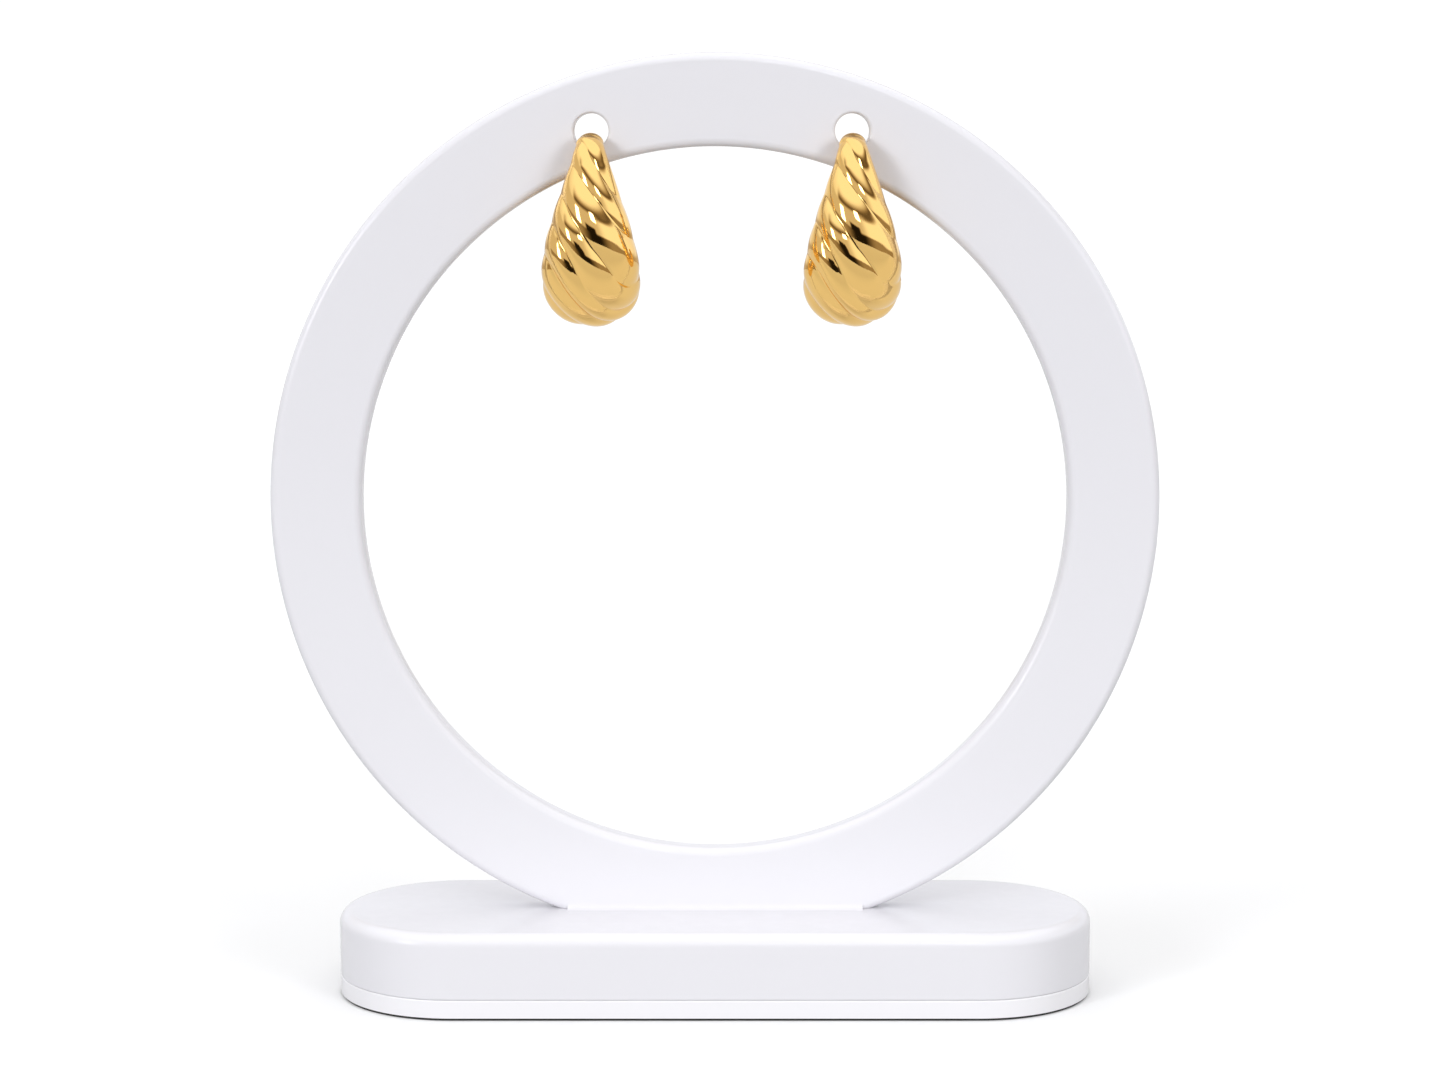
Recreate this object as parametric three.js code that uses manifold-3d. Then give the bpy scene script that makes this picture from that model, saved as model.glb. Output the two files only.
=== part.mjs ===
// A pair of twisted teardrop hoop earrings on a round display stand.
// Millimetres, +Z up, front towards -Y. The stand rests on the plane Z = 0, centred on the origin.

import * as THREE from "three";
import { mergeVertices } from "three/addons/utils/BufferGeometryUtils.js";
import Module from "manifold-3d";

const wasm = await Module();
wasm.setup();

// Base of the stand: a block with a rounded top edge, a lower plate under a fine seam, and a thin pad
const BASE_LENGTH = 119;
const BASE_DEPTH = 38;
const BLOCK_HEIGHT = 10.2;
const BLOCK_EDGE = 2;
const LOWER_PLATE_HEIGHT = 2.8;
const SEAM_EDGE = 0.15;
const PAD_HEIGHT = 0.4;
const PAD_INSET = 0.3;

// Upright ring plate, cut flat where it stands on the block
const RING_OUTER_RADIUS = 69.3;
const RING_WIDTH = 14.3;
const RING_THICKNESS = 4.8;
const RING_EDGE = 1.35;
const RING_CUT = 4.6;
const FOOT_FILLET = 0.9;
const FOOT_END_SETBACK = 1.5;

// The two holes that the earrings hang in, a little to the right of the middle as in the real stand
const HOLE_RADIUS = 2.7;
const HOLE_EDGE = 0.45;
const HOLE_FROM_INNER_EDGE = 5.75;
const HOLE_ANGLE = THREE.MathUtils.degToRad(19.27);
const HOLE_SHIFT = 1.05;

// Hoop: a ribbed tube bent to an open loop, thin at the tip in front and thickest at the bottom
const HOOP_HEIGHT = 29.4;
const HOOP_WIDTH = 15.1;
const OUTER_DEPTH_SHARE = 0.82;
const INNER_DEPTH_SHARE = 0.64;
const HANG_GAP = 0.4;
const TIP_ROUND = 0.5;
const REAR_ROUND = 1.5;

// Ribs that wrap around the tube at a slant. The grooves between them are deepest along its outer side,
// shallow on its left and right, and fade out on its inner side. Their width falls with the fullness.
const RIB_FULLNESS_SHARE = 0.9;
const GROOVE_START_SHARE = -0.6;
const GROOVE_FULL_SHARE = 0.9;

// Straight post soldered to the tip, and the plain ear back pushed on it
const POST_RADIUS = 0.45;
const POST_REST_GAP = 0.35;
const POST_ROOT = 0.6;
const POST_TAIL = 1.2;
const POST_CHAMFER = 0.15;
const EAR_BACK_LENGTH = 3.1;
const EAR_BACK_RADIUS = 1.45;
const EAR_BACK_CHAMFER = 0.3;
const EAR_BACK_GAP = 0.25;

// Sides and steps of the facets
const RING_SIDES = 72;
const EDGE_STEPS = 4;
const END_ARC_STEPS = 16;
const HOLE_SIDES = 20;
const POST_SIDES = 10;
const EAR_BACK_SIDES = 16;
const HOOP_SIDES = 26;
const STEPS_PER_RIB = 6;
const END_STEPS = [0, 0.25, 0.8];

// Sections of the hoop from the tip to the rear end. The middle of the tube lies in front of or behind
// the ring's middle plane by gap times half the open gap plus wall times the tube's inner thickness.
// drop is a share of the hoop's height below its top, and width is a share of the hoop's width.
const HOOP_SECTIONS = [
  { gap: -1.0, wall: 0.0, drop: 0.052, width: 0.255 },
  { gap: -1.0, wall: -1.25, drop: 0.058, width: 0.285 },
  { gap: -1.0, wall: -1.9, drop: 0.105, width: 0.335 },
  { gap: -1.0, wall: -1.75, drop: 0.186, width: 0.435 },
  { gap: -1.0, wall: -1.42, drop: 0.31, width: 0.605 },
  { gap: -1.0, wall: -1.2, drop: 0.433, width: 0.765 },
  { gap: -0.9, wall: -1.05, drop: 0.56, width: 0.905 },
  { gap: -0.7, wall: -0.88, drop: 0.682, width: 0.99 },
  { gap: -0.4, wall: -0.54, drop: 0.77, width: 1.0 },
  { gap: 0.0, wall: -0.11, drop: 0.806, width: 0.975 },
  { gap: 0.4, wall: 0.34, drop: 0.775, width: 0.905 },
  { gap: 0.7, wall: 0.8, drop: 0.688, width: 0.79 },
  { gap: 0.9, wall: 1.17, drop: 0.567, width: 0.655 },
  { gap: 1.0, wall: 1.45, drop: 0.443, width: 0.535 },
  { gap: 1.0, wall: 1.65, drop: 0.33, width: 0.44 },
];

// Grooves from the tip to the rear end: where each one crosses the tube's left side, the middle of its
// outer side and its right side, in shares of the tube's length, and its depth in shares of the tube's size.
// The first one sets off the plain collar at the tip.
const GROOVES = [
  { left: 0.028, middle: 0.037, right: 0.036, depth: 0.18 },
  { left: 0.053, middle: 0.098, right: 0.25, depth: 0.09 },
  { left: 0.115, middle: 0.213, right: 0.375, depth: 0.09 },
  { left: 0.217, middle: 0.375, right: 0.51, depth: 0.09 },
  { left: 0.316, middle: 0.484, right: 0.59, depth: 0.09 },
  { left: 0.422, middle: 0.55, right: 0.655, depth: 0.09 },
  { left: 0.529, middle: 0.622, right: 0.716, depth: 0.09 },
  { left: 0.625, middle: 0.695, right: 0.774, depth: 0.09 },
  { left: 0.712, middle: 0.766, right: 0.829, depth: 0.09 },
  { left: 0.791, middle: 0.834, right: 0.883, depth: 0.09 },
  { left: 0.865, middle: 0.895, right: 0.925, depth: 0.09 },
];

// Places worked out from the sizes above
const baseTop = PAD_HEIGHT + LOWER_PLATE_HEIGHT + BLOCK_HEIGHT;
const ringInnerRadius = RING_OUTER_RADIUS - RING_WIDTH;
const ringCentre = baseTop + RING_OUTER_RADIUS - RING_CUT;
const holeCircleRadius = ringInnerRadius + HOLE_FROM_INNER_EDGE;
const holeX = {
  left: HOLE_SHIFT - holeCircleRadius * Math.sin(HOLE_ANGLE),
  right: HOLE_SHIFT + holeCircleRadius * Math.sin(HOLE_ANGLE),
};
const holeZ = ringCentre + holeCircleRadius * Math.cos(HOLE_ANGLE);
const postZ = holeZ - HOLE_RADIUS + POST_RADIUS + POST_REST_GAP;
const openHalfGap = RING_THICKNESS / 2 + HANG_GAP;

const gold = () => new THREE.MeshStandardMaterial({ color: 0xe6b964, roughness: 0.15, metalness: 1 });
const white = () => new THREE.MeshStandardMaterial({ color: 0xefeef4, roughness: 0.25, metalness: 0 });
const darkPad = () => new THREE.MeshStandardMaterial({ color: 0x343231, roughness: 0.8, metalness: 0 });

// A closed body through rings of equally many points, each counter-clockwise about the way they follow
function loft(rings) {
  const count = rings[0].length;
  const points = rings.flat();
  const lastRing = (rings.length - 1) * count;
  const middles = [rings[0], rings.at(-1)].map((ring) =>
    ring.reduce((sum, point) => sum.add(point), new THREE.Vector3()).divideScalar(count));
  const firstMiddle = points.length;
  const lastMiddle = points.length + 1;
  const index = [];
  for (let i = 0; i < count; i++) {
    const next = (i + 1) % count;
    for (let row = 0; row < lastRing; row += count) {
      index.push(row + i, row + next, row + count + next);
      index.push(row + i, row + count + next, row + count + i);
    }
    index.push(firstMiddle, next, i);
    index.push(lastMiddle, lastRing + i, lastRing + next);
  }
  const geometry = new THREE.BufferGeometry().setFromPoints([...points, ...middles]);
  geometry.setIndex(index);
  return geometry;
}

function toSolid(geometry) {
  const bare = geometry.clone();
  bare.deleteAttribute("normal");
  bare.deleteAttribute("uv");
  const merged = mergeVertices(bare);
  return new wasm.Manifold(new wasm.Mesh({
    numProp: 3,
    vertProperties: merged.attributes.position.array,
    triVerts: new Uint32Array(merged.index.array),
  }));
}

function toGeometry(solid) {
  const mesh = solid.getMesh();
  const geometry = new THREE.BufferGeometry();
  geometry.setAttribute("position", new THREE.BufferAttribute(mesh.vertProperties, 3));
  geometry.setIndex(new THREE.BufferAttribute(mesh.triVerts, 1));
  return geometry;
}

// Points of a quarter round of an edge, turned about (x, y) from one angle in quarter turns to the next
function quarterRound(x, y, radius, startQuarter) {
  return Array.from({ length: EDGE_STEPS + 1 }, (_, i) => {
    const angle = (startQuarter + i / EDGE_STEPS) * Math.PI / 2;
    return new THREE.Vector2(x + radius * Math.cos(angle), y + radius * Math.sin(angle));
  });
}

// The base's outline, straight sides between round ends, drawn in by inset and lifted to z
function baseOutline(inset, z) {
  const radius = BASE_DEPTH / 2 - inset;
  const straight = (BASE_LENGTH - BASE_DEPTH) / 2;
  const outline = [];
  for (const side of [1, -1]) {
    for (let i = 0; i <= END_ARC_STEPS; i++) {
      const angle = (i / END_ARC_STEPS - side / 2) * Math.PI;
      outline.push(new THREE.Vector3(side * straight + radius * Math.cos(angle), radius * Math.sin(angle), z));
    }
  }
  return outline;
}

function makePad() {
  return loft([baseOutline(PAD_INSET, 0), baseOutline(PAD_INSET, PAD_HEIGHT)]);
}

function makeLowerPlate() {
  const top = PAD_HEIGHT + LOWER_PLATE_HEIGHT;
  return loft([
    baseOutline(0, PAD_HEIGHT),
    baseOutline(0, top - SEAM_EDGE),
    baseOutline(SEAM_EDGE, top),
  ]);
}

function makeBlock() {
  const bottom = baseTop - BLOCK_HEIGHT;
  const topEdge = quarterRound(-BLOCK_EDGE, baseTop - BLOCK_EDGE, BLOCK_EDGE, 0);
  return loft([
    baseOutline(SEAM_EDGE, bottom),
    baseOutline(0, bottom + SEAM_EDGE),
    ...topEdge.map((point) => baseOutline(-point.x, point.y)),
  ]);
}

// The full ring about the Y axis, with all four edges rounded
function makeFullRing() {
  const half = RING_THICKNESS / 2 - RING_EDGE;
  const outer = RING_OUTER_RADIUS - RING_EDGE;
  const inner = ringInnerRadius + RING_EDGE;
  const profile = [
    ...quarterRound(outer, half, RING_EDGE, 0),
    ...quarterRound(inner, half, RING_EDGE, 1),
    ...quarterRound(inner, -half, RING_EDGE, 2),
    ...quarterRound(outer, -half, RING_EDGE, 3),
  ];
  profile.push(profile[0]);
  return toSolid(new THREE.LatheGeometry(profile, RING_SIDES));
}

// A plug that cuts one hole and rounds its rims where it leaves the plate's faces
function makeHoleCutter() {
  const face = RING_THICKNESS / 2;
  const rim = HOLE_RADIUS + HOLE_EDGE;
  const backRim = quarterRound(rim, HOLE_EDGE - face, HOLE_EDGE, 2).reverse();
  const frontRim = quarterRound(rim, face - HOLE_EDGE, HOLE_EDGE, 1).reverse();
  const profile = [
    new THREE.Vector2(0, -RING_THICKNESS),
    new THREE.Vector2(rim, -RING_THICKNESS),
    ...backRim,
    ...frontRim,
    new THREE.Vector2(rim, RING_THICKNESS),
    new THREE.Vector2(0, RING_THICKNESS),
  ];
  return toSolid(new THREE.LatheGeometry(profile, HOLE_SIDES));
}

// The hollow round that runs along both faces of the ring where it meets the block
function makeFootFillet() {
  const face = RING_THICKNESS / 2;
  const chord = Math.sqrt(RING_OUTER_RADIUS ** 2 - (ringCentre - baseTop) ** 2);
  const halfLength = chord - FOOT_END_SETBACK;
  const outline = [
    ...quarterRound(-face - FOOT_FILLET, FOOT_FILLET, FOOT_FILLET, 3),
    ...quarterRound(face + FOOT_FILLET, FOOT_FILLET, FOOT_FILLET, 2),
  ];
  const strip = new THREE.ExtrudeGeometry(new THREE.Shape(outline), {
    depth: 2 * halfLength,
    bevelEnabled: false,
  });
  const lengthways = new THREE.Matrix4().makeBasis(
    new THREE.Vector3(0, 1, 0), new THREE.Vector3(0, 0, 1), new THREE.Vector3(1, 0, 0));
  strip.applyMatrix4(lengthways).translate(-halfLength, 0, baseTop);
  return toSolid(strip);
}

function makeStandRing() {
  const below = new THREE.BoxGeometry(2 * RING_OUTER_RADIUS, 2 * RING_THICKNESS, 2 * RING_CUT);
  const cutOff = toSolid(below.translate(0, 0, baseTop - RING_CUT));
  let ring = makeFullRing().translate([0, 0, ringCentre]).subtract(cutOff).add(makeFootFillet());
  for (const x of Object.values(holeX)) {
    ring = ring.subtract(makeHoleCutter().translate([x, 0, holeZ]));
  }
  return toGeometry(ring);
}

// The tube's middle line in y and z, with half its width in x, from the tip to the rear end.
// Its z is measured from the post's axis.
function hoopCurve() {
  const tipDrop = HOOP_SECTIONS[0].drop;
  return new THREE.CatmullRomCurve3(HOOP_SECTIONS.map((section) => {
    const halfWidth = section.width * HOOP_WIDTH / 2;
    const y = section.gap * openHalfGap + section.wall * halfWidth * INNER_DEPTH_SHARE;
    return new THREE.Vector3(halfWidth, y, (tipDrop - section.drop) * HOOP_HEIGHT);
  }));
}

// How far a rounded end draws the tube in at a distance from the end
function endInset(distance, round) {
  const short = Math.max(0, round - distance);
  return round - Math.sqrt(round ** 2 - short ** 2);
}

// Rows of points around the tube from one row to the next, with the depth of the groove at each.
// The phase runs from 0 in one groove through 0.5 on the rib to 1 in the next groove.
function rowsBetween(from, to, startPhase, endPhase) {
  const steps = Math.round((endPhase - startPhase) * STEPS_PER_RIB);
  return Array.from({ length: steps }, (_, i) => {
    const share = i / steps;
    const phase = startPhase + share * (endPhase - startPhase);
    return {
      left: THREE.MathUtils.lerp(from.left, to.left, share),
      middle: THREE.MathUtils.lerp(from.middle, to.middle, share),
      right: THREE.MathUtils.lerp(from.right, to.right, share),
      groove: THREE.MathUtils.lerp(from.depth, to.depth, share)
        * (1 - Math.abs(Math.sin(Math.PI * phase)) ** RIB_FULLNESS_SHARE),
    };
  });
}

// All rows of the tube, straight across in its rounded ends and slanted along the grooves
function hoopRows(length) {
  const across = (place) => ({ left: place, middle: place, right: place, depth: 0, groove: 0 });
  const tip = END_STEPS.map((share) => across(share * TIP_ROUND / length));
  const rear = END_STEPS.map((share) => across(1 - share * REAR_ROUND / length)).reverse();
  return [
    ...tip.slice(0, -1),
    ...rowsBetween({ ...tip.at(-1), depth: GROOVES[0].depth }, GROOVES[0], 0.5, 1),
    ...GROOVES.slice(1).flatMap((groove, i) => rowsBetween(GROOVES[i], groove, 0, 1)),
    ...rowsBetween(GROOVES.at(-1), { ...rear[0], depth: GROOVES.at(-1).depth }, 0, 0.5),
    ...rear,
  ];
}

// A point of a row at a turn about the tube, from the middle of its outer side towards the left
function hoopPoint(curve, length, row, turn) {
  const side = -Math.sin(turn);
  const out = Math.cos(turn);
  const place = THREE.MathUtils.clamp(row.left * side * (side - 1) / 2
    + row.middle * (1 - side ** 2) + row.right * side * (side + 1) / 2, 0, 1);
  const { x: halfWidth, y, z } = curve.getPointAt(place);
  const along = curve.getTangentAt(place).setX(0).normalize();
  const outward = new THREE.Vector3(0, along.z, -along.y);
  const inset = endInset(place * length, TIP_ROUND) + endInset((1 - place) * length, REAR_ROUND);
  const size = 1 - THREE.MathUtils.smoothstep(out, GROOVE_START_SHARE, GROOVE_FULL_SHARE) * row.groove;
  const flatness = out > 0 ? OUTER_DEPTH_SHARE : INNER_DEPTH_SHARE;
  return new THREE.Vector3((halfWidth - inset) * size * side, y, z)
    .addScaledVector(outward, (halfWidth * flatness - inset) * size * out);
}

function makeHoopTube() {
  const curve = hoopCurve();
  const length = curve.getLength();
  const rings = hoopRows(length).map((row) => Array.from({ length: HOOP_SIDES }, (_, i) =>
    hoopPoint(curve, length, row, 2 * Math.PI * i / HOOP_SIDES)));
  return toSolid(loft(rings));
}

function makePost() {
  const start = -openHalfGap - POST_ROOT;
  const end = openHalfGap + EAR_BACK_LENGTH + POST_TAIL;
  return toSolid(new THREE.LatheGeometry([
    new THREE.Vector2(0, start),
    new THREE.Vector2(POST_RADIUS, start),
    new THREE.Vector2(POST_RADIUS, end - POST_CHAMFER),
    new THREE.Vector2(POST_RADIUS - POST_CHAMFER, end),
    new THREE.Vector2(0, end),
  ], POST_SIDES));
}

// One earring with its post's axis on the Y axis and the ring's middle plane at y = 0
function makeHoop() {
  return toGeometry(makeHoopTube().add(makePost()));
}

function makeEarBack() {
  const bore = POST_RADIUS + EAR_BACK_GAP;
  const front = openHalfGap;
  const back = front + EAR_BACK_LENGTH;
  const profile = [
    new THREE.Vector2(bore, front),
    new THREE.Vector2(EAR_BACK_RADIUS - EAR_BACK_CHAMFER, front),
    new THREE.Vector2(EAR_BACK_RADIUS, front + EAR_BACK_CHAMFER),
    new THREE.Vector2(EAR_BACK_RADIUS, back - 2 * EAR_BACK_CHAMFER),
    new THREE.Vector2(EAR_BACK_RADIUS - EAR_BACK_CHAMFER, back),
    new THREE.Vector2(bore, back),
  ];
  profile.push(profile[0]);
  return toGeometry(toSolid(new THREE.LatheGeometry(profile, EAR_BACK_SIDES)));
}

function addMesh(group, name, geometry, material) {
  const mesh = new THREE.Mesh(geometry, material);
  mesh.name = name;
  group.add(mesh);
  return mesh;
}

const model = new THREE.Group();
addMesh(model, "foot_pad", makePad(), darkPad());
addMesh(model, "base_plate", makeLowerPlate(), white());
addMesh(model, "stand_base", makeBlock(), white());
addMesh(model, "stand_ring", makeStandRing(), white());
for (const [name, x] of Object.entries(holeX)) {
  addMesh(model, `hoop_${name}`, makeHoop(), gold()).position.set(x, 0, postZ);
  addMesh(model, `ear_back_${name}`, makeEarBack(), gold()).position.set(x, 0, postZ);
}

export default model;
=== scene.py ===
"""A pair of twisted teardrop hoop earrings on a round white display stand, photographed from the front.

Metres, +Z up, front towards -Y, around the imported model. The stand rests on Z = 0.
"""

import math

import bmesh
import bpy
from mathutils import Matrix, Vector


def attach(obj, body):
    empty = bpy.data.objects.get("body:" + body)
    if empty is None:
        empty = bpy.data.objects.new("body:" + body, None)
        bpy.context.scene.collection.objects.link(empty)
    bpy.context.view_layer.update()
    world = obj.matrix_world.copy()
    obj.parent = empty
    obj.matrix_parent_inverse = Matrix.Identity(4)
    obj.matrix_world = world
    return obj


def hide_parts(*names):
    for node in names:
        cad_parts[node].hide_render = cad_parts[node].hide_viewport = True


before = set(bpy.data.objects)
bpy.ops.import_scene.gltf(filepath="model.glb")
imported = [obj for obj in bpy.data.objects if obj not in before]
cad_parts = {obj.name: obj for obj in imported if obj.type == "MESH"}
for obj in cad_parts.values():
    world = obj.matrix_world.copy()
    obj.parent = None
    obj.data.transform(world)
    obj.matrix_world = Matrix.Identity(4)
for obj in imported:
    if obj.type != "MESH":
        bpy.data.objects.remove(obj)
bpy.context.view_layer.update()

# Camera: level with the top of the ring and a little to the right of its middle, looking slightly down
# on the base, from far enough away that the base shows only a narrow top.
CAMERA_PLACE = (0.00117, -0.475, 0.132)
CAMERA_TILT_DOWN = math.radians(7.24)
CAMERA_LENS = 76.2
CAMERA_SENSOR = 36
CAMERA_NEAREST = 0.01

camera_data = bpy.data.cameras.new("photo_camera")
camera_data.lens = CAMERA_LENS
camera_data.sensor_width = CAMERA_SENSOR
camera_data.clip_start = CAMERA_NEAREST
camera = bpy.data.objects.new("photo_camera", camera_data)
camera.location = CAMERA_PLACE
camera.rotation_euler = (math.pi / 2 - CAMERA_TILT_DOWN, 0, 0)
bpy.context.scene.collection.objects.link(camera)
bpy.context.scene.camera = camera
bpy.context.scene.view_settings.view_transform = "Standard"

# Table: a matt white sweep that runs far back and ends not far in front of the stand. The camera sees it
# white, and a little whiter far away, so that no horizon shows. Polished metal sees it grey, darker in
# front, and it throws little light on the stand.
TABLE_FRONT = -0.62
TABLE_SIDE = 2.4
TABLE_BACK = 3.2
TABLE_ROUGHNESS = 0.9
TABLE_WHITE = 0.875
TABLE_FAR_WHITE = 0.98
FAR_FROM = 0.2
FAR_FULL = 0.9
TABLE_NEAR_GREY = 0.68
TABLE_FRONT_GREY = 0.58
NEAR_GREY_FROM = -0.06
FRONT_GREY_UP_TO = -0.2
TABLE_BOUNCE_SHARE = 0.5
PLAIN_WHITE = (1, 1, 1, 1)


def new_material(name, colour, roughness, metallic=0.0):
    """A material with one Principled BSDF, and its node tree and shader."""
    material = bpy.data.materials.new(name)
    material.use_nodes = True
    shader = material.node_tree.nodes["Principled BSDF"]
    shader.inputs["Base Color"].default_value = colour
    shader.inputs["Roughness"].default_value = roughness
    shader.inputs["Metallic"].default_value = metallic
    return material, material.node_tree, shader


def add_object(name, bm, material):
    """The bmesh as a new object at the origin, shaded smooth, with one material."""
    mesh = bpy.data.meshes.new(name)
    bm.to_mesh(mesh)
    bm.free()
    mesh.shade_smooth()
    mesh.materials.append(material)
    obj = bpy.data.objects.new(name, mesh)
    bpy.context.scene.collection.objects.link(obj)
    return obj


def math_node(tree, operation, first, second=None):
    """A math node on one or two values, each a plain number or another node's output."""
    node = tree.nodes.new("ShaderNodeMath")
    node.operation = operation
    for socket, value in zip(node.inputs, (first, second)):
        if isinstance(value, (int, float)):
            socket.default_value = value
        elif value is not None:
            tree.links.new(value, socket)
    return node.outputs[0]


def change_node(tree, source, start, end, low=0.0, high=1.0, kind="SMOOTHSTEP"):
    """A change from low to high while a value goes from start to end."""
    node = tree.nodes.new("ShaderNodeMapRange")
    node.interpolation_type = kind
    node.inputs["From Min"].default_value = start
    node.inputs["From Max"].default_value = end
    node.inputs["To Min"].default_value = low
    node.inputs["To Max"].default_value = high
    tree.links.new(source, node.inputs["Value"])
    return node.outputs["Result"]


def blend_node(tree, kind, share, first, second):
    """A mix of two values or two colours, each fixed or another node's output."""
    node = tree.nodes.new("ShaderNodeMix")
    node.data_type = kind
    for name, value in (("Factor", share), ("A", first), ("B", second)):
        if isinstance(value, bpy.types.NodeSocket):
            tree.links.new(value, node.inputs[name])
        else:
            node.inputs[name].default_value = value
    return node.outputs["Result"]


table_bm = bmesh.new()
bmesh.ops.create_grid(table_bm, x_segments=1, y_segments=1, size=1)
bmesh.ops.scale(table_bm, vec=(TABLE_SIDE, (TABLE_BACK - TABLE_FRONT) / 2, 1), verts=table_bm.verts)
bmesh.ops.translate(table_bm, vec=(0, (TABLE_BACK + TABLE_FRONT) / 2, 0), verts=table_bm.verts)
table_material, table_tree, table_shader = new_material("table_white", PLAIN_WHITE, TABLE_ROUGHNESS)
table_place = table_tree.nodes.new("ShaderNodeTexCoord")
table_axes = table_tree.nodes.new("ShaderNodeSeparateXYZ")
table_tree.links.new(table_place.outputs["Object"], table_axes.inputs[0])
depth_on_table = table_axes.outputs["Y"]
table_ray = table_tree.nodes.new("ShaderNodeLightPath")
table_grey = change_node(table_tree, depth_on_table, FRONT_GREY_UP_TO, NEAR_GREY_FROM,
                         TABLE_FRONT_GREY, TABLE_NEAR_GREY)
bounce = change_node(table_tree, table_ray.outputs["Is Diffuse Ray"], 0, 1, 1, TABLE_BOUNCE_SHARE)
table_white = change_node(table_tree, depth_on_table, FAR_FROM, FAR_FULL, TABLE_WHITE, TABLE_FAR_WHITE,
                          kind="LINEAR")
table_tone = blend_node(table_tree, "FLOAT", table_ray.outputs["Is Camera Ray"],
                        math_node(table_tree, "MULTIPLY", table_grey, bounce), table_white)
table_tree.links.new(table_tone, table_shader.inputs["Base Color"])
table = add_object("table", table_bm, table_material)

# Room: a bright ceiling, a pale wall behind, a lit wall in front with a dark card around the camera, and
# two small soft boxes. Dark parts are warm and bright ones a little cool. Matt things see weaker walls and
# no boxes, and the camera sees plain white. Bearings run from the front to the right, heights are sines.
CEILING = 1.27
CEILING_FROM = 0.56
CEILING_FULL = 0.74
BACK_WALL = 0.6
BACK_FROM = math.radians(100)
BACK_FULL = math.radians(150)
BACK_STRIP = 0.4
BACK_STRIP_HEIGHTS = (math.sin(math.radians(3)), math.sin(math.radians(19)))
BACK_STRIP_EDGE = 0.03
FRONT_WALL = 0.72
FRONT_WALL_LOW = 0.1
FRONT_WALL_HIGH = 0.52
FRONT_WALL_EDGE = 0.045
BELOW_FRONT_WALL = 0.015
ABOVE_FRONT_WALL = 0.14
RIGHT_WALL = 0.5
RIGHT_WALL_FROM = math.radians(8)
RIGHT_WALL_FULL = math.radians(40)
LEFT_WALL = 0.9
LEFT_WALL_FROM = math.radians(-62)
LEFT_WALL_EDGE = 0.15
SIDE_GLOW = 0.35
GLOW_FROM = math.radians(12)
GLOW_FULL = math.radians(50)
GLOW_EDGE = 0.05
DARK_CARD_SIDES = (math.radians(-26), math.radians(5))
DARK_CARD_TOP = math.sin(math.radians(14))
DARK_CARD_SIDE_EDGE = 0.06
DARK_CARD_TOP_EDGE = 0.03
BOX_POWER = 9.0
LEFT_BOX_SIDES = (math.radians(-55), math.radians(-42))
LEFT_BOX_HEIGHTS = (math.sin(math.radians(8)), math.sin(math.radians(26)))
TOP_BOX_SIDES = (math.radians(2), math.radians(16))
TOP_BOX_HEIGHTS = (math.sin(math.radians(26)), math.sin(math.radians(33)))
BOX_SIDE_EDGE = 0.04
BOX_HEIGHT_EDGE = 0.02
WALL_SHARE_FOR_MATT = 0.56
LIGHT_FOR_MATT = 1.1
DARK_TINT = (1, 0.76, 0.5, 1)
BRIGHT_TINT = (0.975, 1, 1.07, 1)
BRIGHT_FULL = 1.1
BACKDROP_WHITE = 1.05

world = bpy.data.worlds.new("studio")
world.use_nodes = True
bpy.context.scene.world = world
room = world.node_tree
room.nodes.clear()


def plus(first, second):
    """Two values of the studio added."""
    return math_node(room, "ADD", first, second)


def times(first, second):
    """Two values of the studio multiplied."""
    return math_node(room, "MULTIPLY", first, second)


def without(share):
    """What a share leaves of the whole."""
    return math_node(room, "SUBTRACT", 1.0, share)


def rise(source, start, end, low=0.0, high=1.0):
    """A smooth change from low to high while a value of the studio goes from start to end."""
    return change_node(room, source, start, end, low, high)


def rise_at(source, place, edge, low=0.0, high=1.0):
    """A smooth step from low to high at a place, or from high to low where the edge is below 0."""
    return rise(source, place - edge, place + edge, low, high)


def band(source, low, high, edge):
    """1 where a value lies between low and high, and 0 outside, with soft edges."""
    return times(rise_at(source, low, edge), rise_at(source, high, -edge))


direction = room.nodes.new("ShaderNodeTexCoord")
axes = room.nodes.new("ShaderNodeSeparateXYZ")
room.links.new(direction.outputs["Generated"], axes.inputs[0])
height = axes.outputs["Z"]
bearing = math_node(room, "ARCTAN2", axes.outputs["X"], times(axes.outputs["Y"], -1.0))
off_front = math_node(room, "ABSOLUTE", bearing)
seen = room.nodes.new("ShaderNodeLightPath")
matt = seen.outputs["Is Diffuse Ray"]
in_camera = seen.outputs["Is Camera Ray"]

front = plus(FRONT_WALL, rise(bearing, RIGHT_WALL_FROM, RIGHT_WALL_FULL, 0.0, RIGHT_WALL))
front = times(front, band(height, FRONT_WALL_LOW, FRONT_WALL_HIGH, FRONT_WALL_EDGE))
dark_card = times(band(bearing, *DARK_CARD_SIDES, DARK_CARD_SIDE_EDGE),
                  rise_at(height, DARK_CARD_TOP, -DARK_CARD_TOP_EDGE))
front = times(front, without(dark_card))
left_wall = times(rise_at(bearing, LEFT_WALL_FROM, -LEFT_WALL_EDGE),
                  rise_at(height, FRONT_WALL_HIGH, FRONT_WALL_EDGE))
front = plus(front, times(left_wall, LEFT_WALL))
glow = times(rise(off_front, GLOW_FROM, GLOW_FULL),
             rise(height, FRONT_WALL_LOW, FRONT_WALL_LOW - GLOW_EDGE))
front = plus(front, times(glow, SIDE_GLOW))
front = plus(front, rise_at(height, FRONT_WALL_HIGH, FRONT_WALL_EDGE, BELOW_FRONT_WALL, ABOVE_FRONT_WALL))
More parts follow.
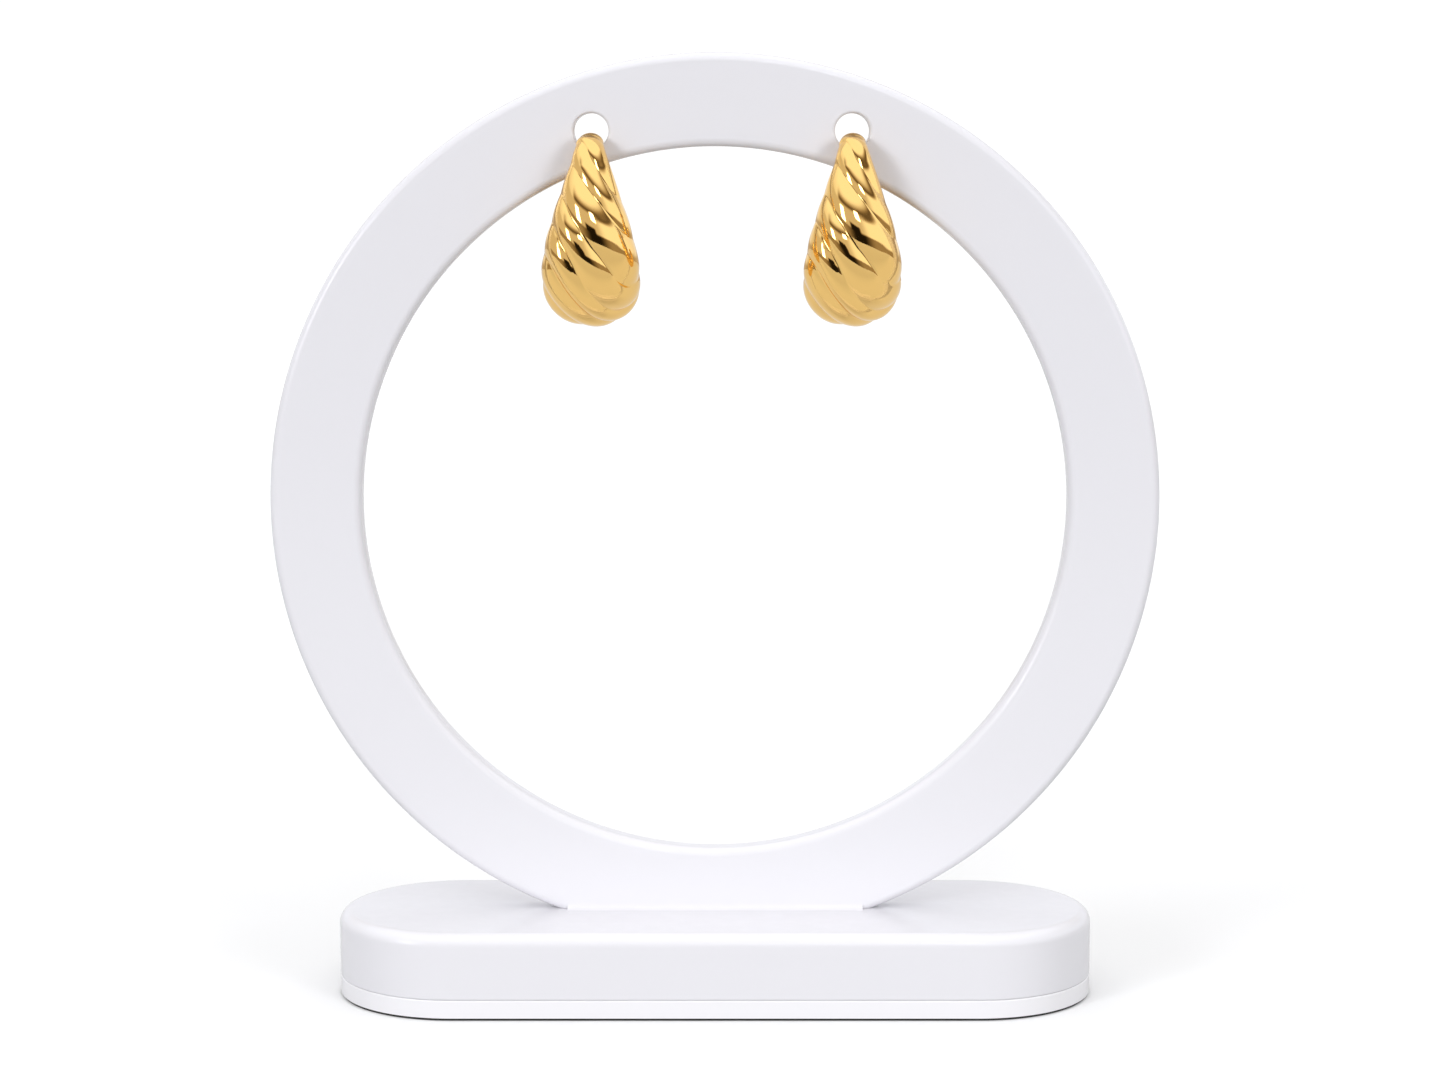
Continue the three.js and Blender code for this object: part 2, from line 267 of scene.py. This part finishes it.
back = plus(BACK_WALL, times(band(height, *BACK_STRIP_HEIGHTS, BACK_STRIP_EDGE), BACK_STRIP))
behind = rise(off_front, BACK_FROM, BACK_FULL)
wall = plus(times(front, without(behind)), times(behind, back))
wall = times(wall, rise(matt, 0.0, 1.0, 1.0, WALL_SHARE_FOR_MATT))
ceiling = rise(height, CEILING_FROM, CEILING_FULL)
light = plus(times(wall, without(ceiling)), times(ceiling, CEILING))
for sides, heights in ((LEFT_BOX_SIDES, LEFT_BOX_HEIGHTS), (TOP_BOX_SIDES, TOP_BOX_HEIGHTS)):
    soft_box = times(band(height, *heights, BOX_HEIGHT_EDGE), band(bearing, *sides, BOX_SIDE_EDGE))
    light = plus(light, times(times(soft_box, without(matt)), BOX_POWER))
light = times(light, rise(matt, 0.0, 1.0, 1.0, LIGHT_FOR_MATT))

tint = blend_node(room, "RGBA", rise(light, 0.0, BRIGHT_FULL), DARK_TINT, BRIGHT_TINT)
colour = blend_node(room, "RGBA", math_node(room, "MAXIMUM", matt, in_camera), tint, PLAIN_WHITE)
strength = blend_node(room, "FLOAT", in_camera, light, BACKDROP_WHITE)
backdrop = room.nodes.new("ShaderNodeBackground")
room.links.new(colour, backdrop.inputs["Color"])
room.links.new(strength, backdrop.inputs["Strength"])
room_output = room.nodes.new("ShaderNodeOutputWorld")
room.links.new(backdrop.outputs[0], room_output.inputs[0])

# Side lights: two low soft lights left and right of the camera that polished metal doesn't mirror. They
# throw the soft shadows of the stand across the table.
SIDE_LIGHT_BEARING = math.radians(40)
SIDE_LIGHT_HEIGHT = math.radians(13)
SIDE_LIGHT_DISTANCE = 2.5
SIDE_LIGHT_SIZE = 0.75
SIDE_LIGHT_POWER = 20.5

for side in (-1, 1):
    side_light = bpy.data.lights.new("side_light", "AREA")
    side_light.shape = "SQUARE"
    side_light.size = SIDE_LIGHT_SIZE
    side_light.energy = SIDE_LIGHT_POWER
    toward = Vector((side * math.sin(SIDE_LIGHT_BEARING) * math.cos(SIDE_LIGHT_HEIGHT),
                     -math.cos(SIDE_LIGHT_BEARING) * math.cos(SIDE_LIGHT_HEIGHT),
                     math.sin(SIDE_LIGHT_HEIGHT)))
    side_lamp = bpy.data.objects.new("side_light", side_light)
    side_lamp.location = toward * SIDE_LIGHT_DISTANCE
    side_lamp.rotation_euler = toward.to_track_quat("Z", "Y").to_euler()
    side_lamp.visible_glossy = False
    side_lamp.visible_camera = False
    bpy.context.scene.collection.objects.link(side_lamp)

# Contact shadow sheet: a thin dark sheet under the base, set in a little from its outline, that paints the
# shade where the base meets the table as a fine dark line along the table.
BASE_LENGTH = 0.119
BASE_DEPTH = 0.038
SHADOW_SHEET_HEIGHT = 0.0004
SHADOW_SHEET_INSET = 0.0003
# Near black: the colour of the painted contact shadow.
SHADOW_SHEET_COLOUR = (0.035, 0.034, 0.033, 1)
SHADOW_SHEET_ROUGHNESS = 0.8
SHADOW_SHEET_GRAIN = {"size": 9000.0, "smooth": 0.7, "rough": 0.9, "depth": 0.00003}
GRAIN_DETAIL = 3.0
GRAIN_DARKEST = 0.3
GRAIN_BRIGHTEST = 0.7
BASE_ARC_POINTS = 128
FLAT_WEIGHT = 100
SAME_PLACE = 1e-7


def stadium(inset, low, high):
    """A closed block with straight sides between round ends, from low to high, drawn in by inset."""
    bm = bmesh.new()
    bmesh.ops.create_circle(bm, cap_ends=True, segments=BASE_ARC_POINTS, radius=BASE_DEPTH / 2 - inset)
    bmesh.ops.rotate(bm, matrix=Matrix.Rotation(math.pi / BASE_ARC_POINTS, 3, "Z"), verts=bm.verts)
    for side in (1, -1):
        half = [v for v in bm.verts if v.co.x * side > 0]
        bmesh.ops.translate(bm, vec=(side * (BASE_LENGTH - BASE_DEPTH) / 2, 0, 0), verts=half)
    bmesh.ops.translate(bm, vec=(0, 0, low), verts=bm.verts)
    made = bmesh.ops.extrude_face_region(bm, geom=bm.faces[:])
    top = [v for v in made["geom"] if isinstance(v, bmesh.types.BMVert)]
    bmesh.ops.translate(bm, vec=(0, 0, high - low), verts=top)
    bmesh.ops.recalc_face_normals(bm, faces=bm.faces)
    return bm


def rim_at(bm, height):
    """The edges that lie level at a height."""
    return [e for e in bm.edges if all(abs(v.co.z - height) < SAME_PLACE for v in e.verts)]


def keep_sharp(edges):
    """Lets no smooth shading run over edges."""
    for edge in edges:
        edge.smooth = False


def round_edges(bm, edges, radius, segments):
    """Rounds edges with a quarter circle."""
    bmesh.ops.bevel(bm, geom=edges, offset=radius, offset_type="OFFSET", segments=segments,
                    profile=0.5, affect="EDGES", material=-1, clamp_overlap=True)


def keep_flats_flat(obj):
    """Shades large flat faces flat and lets the rounded edges between them run smooth."""
    weighting = obj.modifiers.new("flat_faces", "WEIGHTED_NORMAL")
    weighting.weight = FLAT_WEIGHT
    weighting.keep_sharp = True


surface_grain = bpy.data.node_groups.new("surface_grain", "ShaderNodeTree")
for socket, way in (("Size", "INPUT"), ("Smooth", "INPUT"), ("Rough", "INPUT"),
                    ("Roughness", "OUTPUT"), ("Height", "OUTPUT")):
    surface_grain.interface.new_socket(socket, in_out=way, socket_type="NodeSocketFloat")
grain_in = surface_grain.nodes.new("NodeGroupInput")
grain_out = surface_grain.nodes.new("NodeGroupOutput")
grain_place = surface_grain.nodes.new("ShaderNodeTexCoord")
grain_noise = surface_grain.nodes.new("ShaderNodeTexNoise")
grain_noise.inputs["Detail"].default_value = GRAIN_DETAIL
grain_spread = surface_grain.nodes.new("ShaderNodeMapRange")
grain_spread.inputs["From Min"].default_value = GRAIN_DARKEST
grain_spread.inputs["From Max"].default_value = GRAIN_BRIGHTEST
surface_grain.links.new(grain_place.outputs["Object"], grain_noise.inputs["Vector"])
surface_grain.links.new(grain_in.outputs["Size"], grain_noise.inputs["Scale"])
surface_grain.links.new(grain_noise.outputs["Fac"], grain_spread.inputs["Value"])
surface_grain.links.new(grain_in.outputs["Smooth"], grain_spread.inputs["To Min"])
surface_grain.links.new(grain_in.outputs["Rough"], grain_spread.inputs["To Max"])
surface_grain.links.new(grain_spread.outputs["Result"], grain_out.inputs["Roughness"])
surface_grain.links.new(grain_noise.outputs["Fac"], grain_out.inputs["Height"])


def add_grain(tree, shader, size, smooth, rough, depth):
    """Varies a material's roughness and gives it a fine relief of some depth."""
    grain = tree.nodes.new("ShaderNodeGroup")
    grain.node_tree = surface_grain
    grain.inputs["Size"].default_value = size
    grain.inputs["Smooth"].default_value = smooth
    grain.inputs["Rough"].default_value = rough
    relief = tree.nodes.new("ShaderNodeBump")
    relief.inputs["Distance"].default_value = depth
    tree.links.new(grain.outputs["Height"], relief.inputs["Height"])
    tree.links.new(grain.outputs["Roughness"], shader.inputs["Roughness"])
    tree.links.new(relief.outputs["Normal"], shader.inputs["Normal"])


# The sheet below (foot_pad) is painted shadow along the foot of the base, not a real pad.
shadow_sheet_material, shadow_sheet_tree, shadow_sheet_shader = new_material("painted_contact_shadow", SHADOW_SHEET_COLOUR, SHADOW_SHEET_ROUGHNESS)
add_grain(shadow_sheet_tree, shadow_sheet_shader, **SHADOW_SHEET_GRAIN)
shadow_sheet_bm = stadium(SHADOW_SHEET_INSET, 0, SHADOW_SHEET_HEIGHT)
keep_sharp(rim_at(shadow_sheet_bm, 0) + rim_at(shadow_sheet_bm, SHADOW_SHEET_HEIGHT))
foot_pad = add_object("contact_shadow_sheet", shadow_sheet_bm, shadow_sheet_material)
keep_flats_flat(foot_pad)
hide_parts("foot_pad")
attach(foot_pad, "root")

# Base: two cast white plastic slabs with a fine seam between them, a thin lower one of a paler white that
# is painted reflection of the bright table, and a thick upper one whose top edge is rounded. Both have an
# even gloss.
LOWER_PLATE_HEIGHT = 0.0028
BLOCK_HEIGHT = 0.0102
BLOCK_EDGE = 0.002
BLOCK_EDGE_STEPS = 12
SEAM_EDGE = 0.00025
SEAM_STEPS = 3
STAND_WHITE = (0.735, 0.727, 0.757, 1)
# A lighter copy of the stand's white for the lower slab: painted reflection of the table.
LOWER_PLATE_REFLECTION_WHITE = (0.825, 0.816, 0.838, 1)
PLASTIC_ROUGHNESS = 0.22
PLASTIC_IOR = 1.49
PLASTIC_GRAIN = {"size": 420.0, "smooth": 0.17, "rough": 0.24, "depth": 0.000004}


def new_plastic(name, colour):
    """A glossy plastic with a faint grain."""
    material, tree, shader = new_material(name, colour, PLASTIC_ROUGHNESS)
    shader.inputs["IOR"].default_value = PLASTIC_IOR
    add_grain(tree, shader, **PLASTIC_GRAIN)
    return material


stand_material = new_plastic("white_plastic", STAND_WHITE)
lower_reflection_material = new_plastic("white_plastic_painted_reflection", LOWER_PLATE_REFLECTION_WHITE)

plate_top = SHADOW_SHEET_HEIGHT + LOWER_PLATE_HEIGHT
plate_bm = stadium(0, SHADOW_SHEET_HEIGHT, plate_top)
round_edges(plate_bm, rim_at(plate_bm, plate_top), SEAM_EDGE, SEAM_STEPS)
keep_sharp(rim_at(plate_bm, SHADOW_SHEET_HEIGHT))
base_plate = add_object("base_plate_slab", plate_bm, lower_reflection_material)
keep_flats_flat(base_plate)
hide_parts("base_plate")
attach(base_plate, "root")

base_top = plate_top + BLOCK_HEIGHT
block_bm = stadium(0, plate_top, base_top)
round_edges(block_bm, rim_at(block_bm, base_top), BLOCK_EDGE, BLOCK_EDGE_STEPS)
round_edges(block_bm, rim_at(block_bm, plate_top), SEAM_EDGE, SEAM_STEPS)
stand_base = add_object("base_block", block_bm, stand_material)
keep_flats_flat(stand_base)
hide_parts("stand_base")
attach(stand_base, "root")

# Ring plate: cut from a sheet of the same white plastic, with all edges rounded over, two drilled holes for
# the posts near its top, and a flat foot that is welded to the block with a small hollow fillet.
RING_OUTER_RADIUS = 0.0693
RING_WIDTH = 0.0143
RING_THICKNESS = 0.0048
RING_EDGE = 0.00135
RING_EDGE_STEPS = 9
RING_CUT = 0.0046
HOLE_RADIUS = 0.0027
HOLE_EDGE = 0.00045
HOLE_EDGE_STEPS = 5
NEAR_HOLE_SHARE = 1.2
HOLE_FROM_INNER_EDGE = 0.00575
HOLE_ANGLE = math.radians(19.27)
HOLE_SHIFT = 0.00105
FOOT_FILLET = 0.0009
FOOT_FILLET_STEPS = 8
FOOT_FILLET_SHARP = 0.5
FOOT_END_SETBACK = 0.0015
RING_POINTS = 360
HOLE_POINTS = 64
RIM_ANGLE = 1.0

ring_inner_radius = RING_OUTER_RADIUS - RING_WIDTH
ring_centre = base_top + RING_OUTER_RADIUS - RING_CUT
hole_x = (ring_inner_radius + HOLE_FROM_INNER_EDGE) * math.sin(HOLE_ANGLE)
hole_z = ring_centre + (ring_inner_radius + HOLE_FROM_INNER_EDGE) * math.cos(HOLE_ANGLE)
hole_places = {"left": HOLE_SHIFT - hole_x, "right": HOLE_SHIFT + hole_x}


def circle_edges(bm, radius, points, x, z):
    """A circle of edges in the plate's back face, about a point."""
    place = Matrix.Translation((x, RING_THICKNESS / 2, z)) @ Matrix.Rotation(math.pi / 2, 4, "X")
    made = bmesh.ops.create_circle(bm, segments=points, radius=radius, matrix=place)
    return list({e for v in made["verts"] for e in v.link_edges})


ring_bm = bmesh.new()
outline = circle_edges(ring_bm, RING_OUTER_RADIUS, RING_POINTS, 0, ring_centre)
outline += circle_edges(ring_bm, ring_inner_radius, RING_POINTS, 0, ring_centre)
for place in hole_places.values():
    outline += circle_edges(ring_bm, HOLE_RADIUS, HOLE_POINTS, place, hole_z)
bmesh.ops.triangle_fill(ring_bm, use_beauty=True, edges=outline)
made = bmesh.ops.extrude_face_region(ring_bm, geom=ring_bm.faces[:])
front_side = [v for v in made["geom"] if isinstance(v, bmesh.types.BMVert)]
bmesh.ops.translate(ring_bm, vec=(0, -RING_THICKNESS, 0), verts=front_side)
bmesh.ops.recalc_face_normals(ring_bm, faces=ring_bm.faces)


def near_hole(edge):
    """Whether an edge belongs to one of the two drilled holes."""
    middle = (edge.verts[0].co + edge.verts[1].co) / 2
    return any(math.hypot(middle.x - place, middle.z - hole_z) < NEAR_HOLE_SHARE * HOLE_RADIUS
               for place in hole_places.values())


rims = [e for e in ring_bm.edges if len(e.link_faces) == 2 and e.calc_face_angle() > RIM_ANGLE]
hole_rims = [e for e in rims if near_hole(e)]
plate_rims = [e for e in rims if not near_hole(e)]
round_edges(ring_bm, hole_rims, HOLE_EDGE, HOLE_EDGE_STEPS)
round_edges(ring_bm, plate_rims, RING_EDGE, RING_EDGE_STEPS)
cut = bmesh.ops.bisect_plane(ring_bm, geom=ring_bm.verts[:] + ring_bm.edges[:] + ring_bm.faces[:],
                             plane_co=(0, 0, base_top), plane_no=(0, 0, -1), clear_outer=True)
cut_edges = [e for e in cut["geom_cut"] if isinstance(e, bmesh.types.BMEdge)]
bmesh.ops.contextual_create(ring_bm, geom=cut_edges)
keep_sharp(cut_edges)
bmesh.ops.recalc_face_normals(ring_bm, faces=ring_bm.faces)
stand_ring = add_object("ring_plate", ring_bm, stand_material)
keep_flats_flat(stand_ring)
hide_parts("stand_ring")
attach(stand_ring, "root")

fillet_bm = bmesh.new()
foot_chord = math.sqrt(RING_OUTER_RADIUS**2 - (ring_centre - base_top) ** 2)
fillet_end = foot_chord - FOOT_END_SETBACK
for side in (-1, 1):
    corner = Vector((-fillet_end, side * RING_THICKNESS / 2, base_top))
    start = fillet_bm.verts.new(corner + Vector((0, 0, FOOT_FILLET)))
    heart = corner + Vector((0, side * FOOT_FILLET, FOOT_FILLET))
    arc = bmesh.ops.spin(fillet_bm, geom=[start], cent=heart, axis=(1, 0, 0), angle=side * math.pi / 2,
                         steps=FOOT_FILLET_STEPS, use_merge=False)
    edges = [e for e in fillet_bm.edges if e.verts[0].co.y * side > 0 and not e.link_faces]
    last = [v for v in arc["geom_last"] if isinstance(v, bmesh.types.BMVert)][0]
    inner = fillet_bm.verts.new(corner)
    edges += [fillet_bm.edges.new((last, inner)), fillet_bm.edges.new((inner, start))]
    bmesh.ops.contextual_create(fillet_bm, geom=edges)
made = bmesh.ops.extrude_face_region(fillet_bm, geom=fillet_bm.faces[:])
far_end = [v for v in made["geom"] if isinstance(v, bmesh.types.BMVert)]
bmesh.ops.translate(fillet_bm, vec=(2 * fillet_end, 0, 0), verts=far_end)
bmesh.ops.recalc_face_normals(fillet_bm, faces=fillet_bm.faces)
keep_sharp([e for e in fillet_bm.edges if e.calc_face_angle() > FOOT_FILLET_SHARP])
foot_fillet = add_object("foot_fillet", fillet_bm, stand_material)
keep_flats_flat(foot_fillet)
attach(foot_fillet, "root")

# Hoops: polished gold castings, both from one mould. A tube that swells from a narrow tip in front to
# a full bottom and thins again to its rear end, wrapped in slanted ribs, with a straight post soldered on.
HOOP_HEIGHT = 0.0294
HOOP_WIDTH = 0.0151
OUTER_DEPTH_SHARE = 0.82
INNER_DEPTH_SHARE = 0.64
HANG_GAP = 0.0004
TIP_ROUND = 0.0005
REAR_ROUND = 0.0015
RIB_FULLNESS_SHARE = 0.9
GROOVE_START_SHARE = -0.6
GROOVE_FULL_SHARE = 0.9
POST_RADIUS = 0.00045
POST_REST_GAP = 0.00035
POST_ROOT = 0.0006
POST_TAIL = 0.0012
POST_POINTS = 32
POST_CHAMFER = 0.00015
POST_CHAMFER_STEPS = 3
EAR_BACK_LENGTH = 0.0031
HOOP_POINTS = 112
ROWS_PER_RIB = 22
END_STEPS = 7
CURVE_STEPS = 40
GOLD = (0.94, 0.61, 0.205, 1)
GOLD_ROUGHNESS = 0.05
GOLD_GRAIN = {"size": 700.0, "smooth": 0.035, "rough": 0.07, "depth": 0.000002}

# Sections of the hoop from the tip to the rear end. The middle of the tube lies in front of or behind the
# ring's middle plane by gap times half the open gap plus wall times the tube's inner thickness. Drop is a
# share of the hoop's height below its top, and width is a share of the hoop's width.
HOOP_SECTIONS = [
    # gap, wall, drop, width
    (-1.0, 0.0, 0.052, 0.255),
    (-1.0, -1.25, 0.058, 0.285),
    (-1.0, -1.9, 0.105, 0.335),
    (-1.0, -1.75, 0.186, 0.435),
    (-1.0, -1.42, 0.31, 0.605),
    (-1.0, -1.2, 0.433, 0.765),
    (-0.9, -1.05, 0.56, 0.905),
    (-0.7, -0.88, 0.682, 0.99),
    (-0.4, -0.54, 0.77, 1.0),
    (0.0, -0.11, 0.806, 0.975),
    (0.4, 0.34, 0.775, 0.905),
    (0.7, 0.8, 0.688, 0.79),
    (0.9, 1.17, 0.567, 0.655),
    (1.0, 1.45, 0.443, 0.535),
    (1.0, 1.65, 0.33, 0.44),
]

# Grooves from the tip to the rear end: where each one crosses the tube's left side, the middle of its outer
# side and its right side, in shares of the tube's length, and its depth in shares of the tube's size. The
# first one sets off the plain collar at the tip.
GROOVES = [
    # left, middle, right, depth
    (0.028, 0.037, 0.036, 0.18),
    (0.053, 0.098, 0.25, 0.09),
    (0.115, 0.213, 0.375, 0.09),
    (0.217, 0.375, 0.51, 0.09),
    (0.316, 0.484, 0.59, 0.09),
    (0.422, 0.55, 0.655, 0.09),
    (0.529, 0.622, 0.716, 0.09),
    (0.625, 0.695, 0.774, 0.09),
    (0.712, 0.766, 0.829, 0.09),
    (0.791, 0.834, 0.883, 0.09),
    (0.865, 0.895, 0.925, 0.09),
]

post_z = hole_z - HOLE_RADIUS + POST_RADIUS + POST_REST_GAP
open_half_gap = RING_THICKNESS / 2 + HANG_GAP


def curve_point(a, b, c, d, share):
    """A point between b and c on a centripetal Catmull-Rom curve."""
    gaps = [max((q - p).length ** 0.5, 1e-6) for p, q in ((a, b), (b, c), (c, d))]
    start = ((b - a) / gaps[0] - (c - a) / (gaps[0] + gaps[1]) + (c - b) / gaps[1]) * gaps[1]
    end = ((c - b) / gaps[1] - (d - b) / (gaps[1] + gaps[2]) + (d - c) / gaps[2]) * gaps[1]
    return (b + start * share + (3 * (c - b) - 2 * start - end) * share**2
            + (2 * (b - c) + start + end) * share**3)


def hoop_line():
    """Points along the tube's middle line, half its width in x, and its length up to each."""
    knots = []
    for gap, wall, drop, width in HOOP_SECTIONS:
        half_width = width * HOOP_WIDTH / 2
        y = gap * open_half_gap + wall * half_width * INNER_DEPTH_SHARE
        knots.append(Vector((half_width, y, (HOOP_SECTIONS[0][2] - drop) * HOOP_HEIGHT)))
    knots = [2 * knots[0] - knots[1], *knots, 2 * knots[-1] - knots[-2]]
    line = [curve_point(*knots[i:i + 4], step / CURVE_STEPS)
            for i in range(len(knots) - 3) for step in range(CURVE_STEPS)]
    line.append(knots[-2])
    lengths = [0.0]
    for before, after in zip(line, line[1:]):
        lengths.append(lengths[-1] + (after - before).length)
    return line, lengths


hoop_points, hoop_lengths = hoop_line()
hoop_length = hoop_lengths[-1]


def on_hoop_line(distance):
    """The middle line's point and direction at a distance from the tip."""
    low, high = 0, len(hoop_lengths) - 1
    while high - low > 1:
        middle = (low + high) // 2
        low, high = (middle, high) if hoop_lengths[middle] <= distance else (low, middle)
    share = (distance - hoop_lengths[low]) / (hoop_lengths[high] - hoop_lengths[low])
    here = hoop_points[low].lerp(hoop_points[high], share)
    before = hoop_points[max(low - 1, 0)]
    after = hoop_points[min(high + 1, len(hoop_points) - 1)]
    return here, Vector((0, after.y - before.y, after.z - before.z)).normalized()


def rows_between(start, end, first_phase, last_phase):
    """Rows around the tube from one row to the next, each with how deep it lies in a groove. The phase runs
    from 0 in one groove through 0.5 on the rib to 1 in the next groove."""
    steps = round((last_phase - first_phase) * ROWS_PER_RIB)
    rows = []
    for i in range(steps):
        share = i / steps
        phase = first_phase + share * (last_phase - first_phase)
        *places, depth = [a + (b - a) * share for a, b in zip(start, end)]
        rows.append((*places, depth * (1 - abs(math.sin(math.pi * phase)) ** RIB_FULLNESS_SHARE)))
    return rows


def hoop_rows():
    """All rows of the tube, straight across in its rounded ends and slanted along the grooves."""
    steps = [(i / END_STEPS) ** 2 for i in range(END_STEPS)]
    tip = [(step * TIP_ROUND / hoop_length,) * 3 for step in steps]
    rear = [(1 - step * REAR_ROUND / hoop_length,) * 3 for step in steps][::-1]
    rows = [(*row, 0.0) for row in tip[:-1]]
    rows += rows_between((*tip[-1], GROOVES[0][3]), GROOVES[0], 0.5, 1)
    for before, after in zip(GROOVES, GROOVES[1:]):
        rows += rows_between(before, after, 0, 1)
    rows += rows_between(GROOVES[-1], (*rear[0], GROOVES[-1][3]), 0, 0.5)
    return rows + [(*row, 0.0) for row in rear]


def end_inset(distance, radius):
    """How far a rounded end draws the tube in at a distance from the end."""
    short = max(0.0, radius - distance)
    return radius - math.sqrt(radius**2 - short**2)


def smooth_share(value, low, high):
    """0 below low, 1 above high, and a smooth step between."""
    share = min(max((value - low) / (high - low), 0), 1)
    return share * share * (3 - 2 * share)


def hoop_point(row, turn):
    """A point of a row at a turn about the tube, from the middle of its outer side towards the left."""
    left, middle, right, groove = row
    side = -math.sin(turn)
    out = math.cos(turn)
    place = (left * side * (side - 1) + right * side * (side + 1)) / 2 + middle * (1 - side**2)
    distance = min(max(place, 0), 1) * hoop_length
    here, along = on_hoop_line(distance)
    outward = Vector((0, along.z, -along.y))
    inset = end_inset(distance, TIP_ROUND) + end_inset(hoop_length - distance, REAR_ROUND)
    size = 1 - smooth_share(out, GROOVE_START_SHARE, GROOVE_FULL_SHARE) * groove
    flatness = OUTER_DEPTH_SHARE if out > 0 else INNER_DEPTH_SHARE
    point = Vector(((here.x - inset) * size * side, here.y, here.z))
    return point + outward * (here.x * flatness - inset) * size * out


def add_hoop_tube(bm):
    """Extrudes a ring of edges row by row along the tube, and closes both ends."""
    rows = hoop_rows()
    made = bmesh.ops.create_circle(bm, cap_ends=True, segments=HOOP_POINTS, radius=HOOP_WIDTH / 4)
    ring = made["verts"]
    edges = list({e for v in ring for e in v.link_edges})
    for number, row in enumerate(rows):
        if number:
            grown = bmesh.ops.extrude_edge_only(bm, edges=edges)["geom"]
            edges = [e for e in grown if isinstance(e, bmesh.types.BMEdge)
                     and not any(v in ring for v in e.verts)]
            ring = [v for v in grown if isinstance(v, bmesh.types.BMVert)]
        for i, vert in enumerate(ring):
            vert.co = hoop_point(row, 2 * math.pi * i / HOOP_POINTS)
    bmesh.ops.contextual_create(bm, geom=edges)


def add_post(bm):
    """A straight round wire with a small chamfer on its free end, along Y from inside the tip."""
    start = -open_half_gap - POST_ROOT
    length = open_half_gap + EAR_BACK_LENGTH + POST_TAIL - start
    place = Matrix.Translation((0, start + length / 2, 0)) @ Matrix.Rotation(-math.pi / 2, 4, "X")
    made = bmesh.ops.create_cone(bm, cap_ends=True, segments=POST_POINTS, radius1=POST_RADIUS,
                                 radius2=POST_RADIUS, depth=length, matrix=place)
    end = start + length
    rim = {e for v in made["verts"] for e in v.link_edges
           if all(abs(w.co.y - end) < SAME_PLACE for w in e.verts)}
    round_edges(bm, list(rim), POST_CHAMFER, POST_CHAMFER_STEPS)


gold_material, gold_tree, gold_shader = new_material("polished_gold", GOLD, GOLD_ROUGHNESS, metallic=1.0)
add_grain(gold_tree, gold_shader, **GOLD_GRAIN)

hoop_bm = bmesh.new()
add_hoop_tube(hoop_bm)
add_post(hoop_bm)
bmesh.ops.recalc_face_normals(hoop_bm, faces=hoop_bm.faces)
for name, place in hole_places.items():
    placed = hoop_bm.copy()
    bmesh.ops.translate(placed, vec=(place, 0, post_z), verts=placed.verts)
    hoop = add_object(f"ribbed_hoop_{name}", placed, gold_material)
    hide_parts(f"hoop_{name}")
    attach(hoop, "root")
hoop_bm.free()

# Ear backs: small plain barrels of the same metal, pushed over the posts until they almost touch the back
# of the ring plate.
EAR_BACK_RADIUS = 0.00145
EAR_BACK_CHAMFER = 0.0003
EAR_BACK_CHAMFER_STEPS = 5
EAR_BACK_POINTS = 48
OUTER_RIM_SHARE = 0.9
EAR_BACK_GAP = 0.00025

back_bm = bmesh.new()
back_end = Matrix.Translation((0, open_half_gap + EAR_BACK_LENGTH, 0))
back_place = back_end @ Matrix.Rotation(math.pi / 2, 4, "X")
loops = []
for radius in (EAR_BACK_RADIUS, POST_RADIUS + EAR_BACK_GAP):
    made = bmesh.ops.create_circle(back_bm, segments=EAR_BACK_POINTS, radius=radius, matrix=back_place)
    loops += list({e for v in made["verts"] for e in v.link_edges})
bmesh.ops.bridge_loops(back_bm, edges=loops)
made = bmesh.ops.extrude_face_region(back_bm, geom=back_bm.faces[:])
near_side = [v for v in made["geom"] if isinstance(v, bmesh.types.BMVert)]
bmesh.ops.translate(back_bm, vec=(0, -EAR_BACK_LENGTH, 0), verts=near_side)
bmesh.ops.recalc_face_normals(back_bm, faces=back_bm.faces)
outer_rims = [e for e in back_bm.edges if e.calc_face_angle() > RIM_ANGLE
              and all(math.hypot(v.co.x, v.co.z) > EAR_BACK_RADIUS * OUTER_RIM_SHARE for v in e.verts)]
round_edges(back_bm, outer_rims, EAR_BACK_CHAMFER, EAR_BACK_CHAMFER_STEPS)
for name, place in hole_places.items():
    placed = back_bm.copy()
    bmesh.ops.translate(placed, vec=(place, 0, post_z), verts=placed.verts)
    ear_back = add_object(f"ear_back_barrel_{name}", placed, gold_material)
    keep_flats_flat(ear_back)
    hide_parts(f"ear_back_{name}")
    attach(ear_back, "root")
back_bm.free()
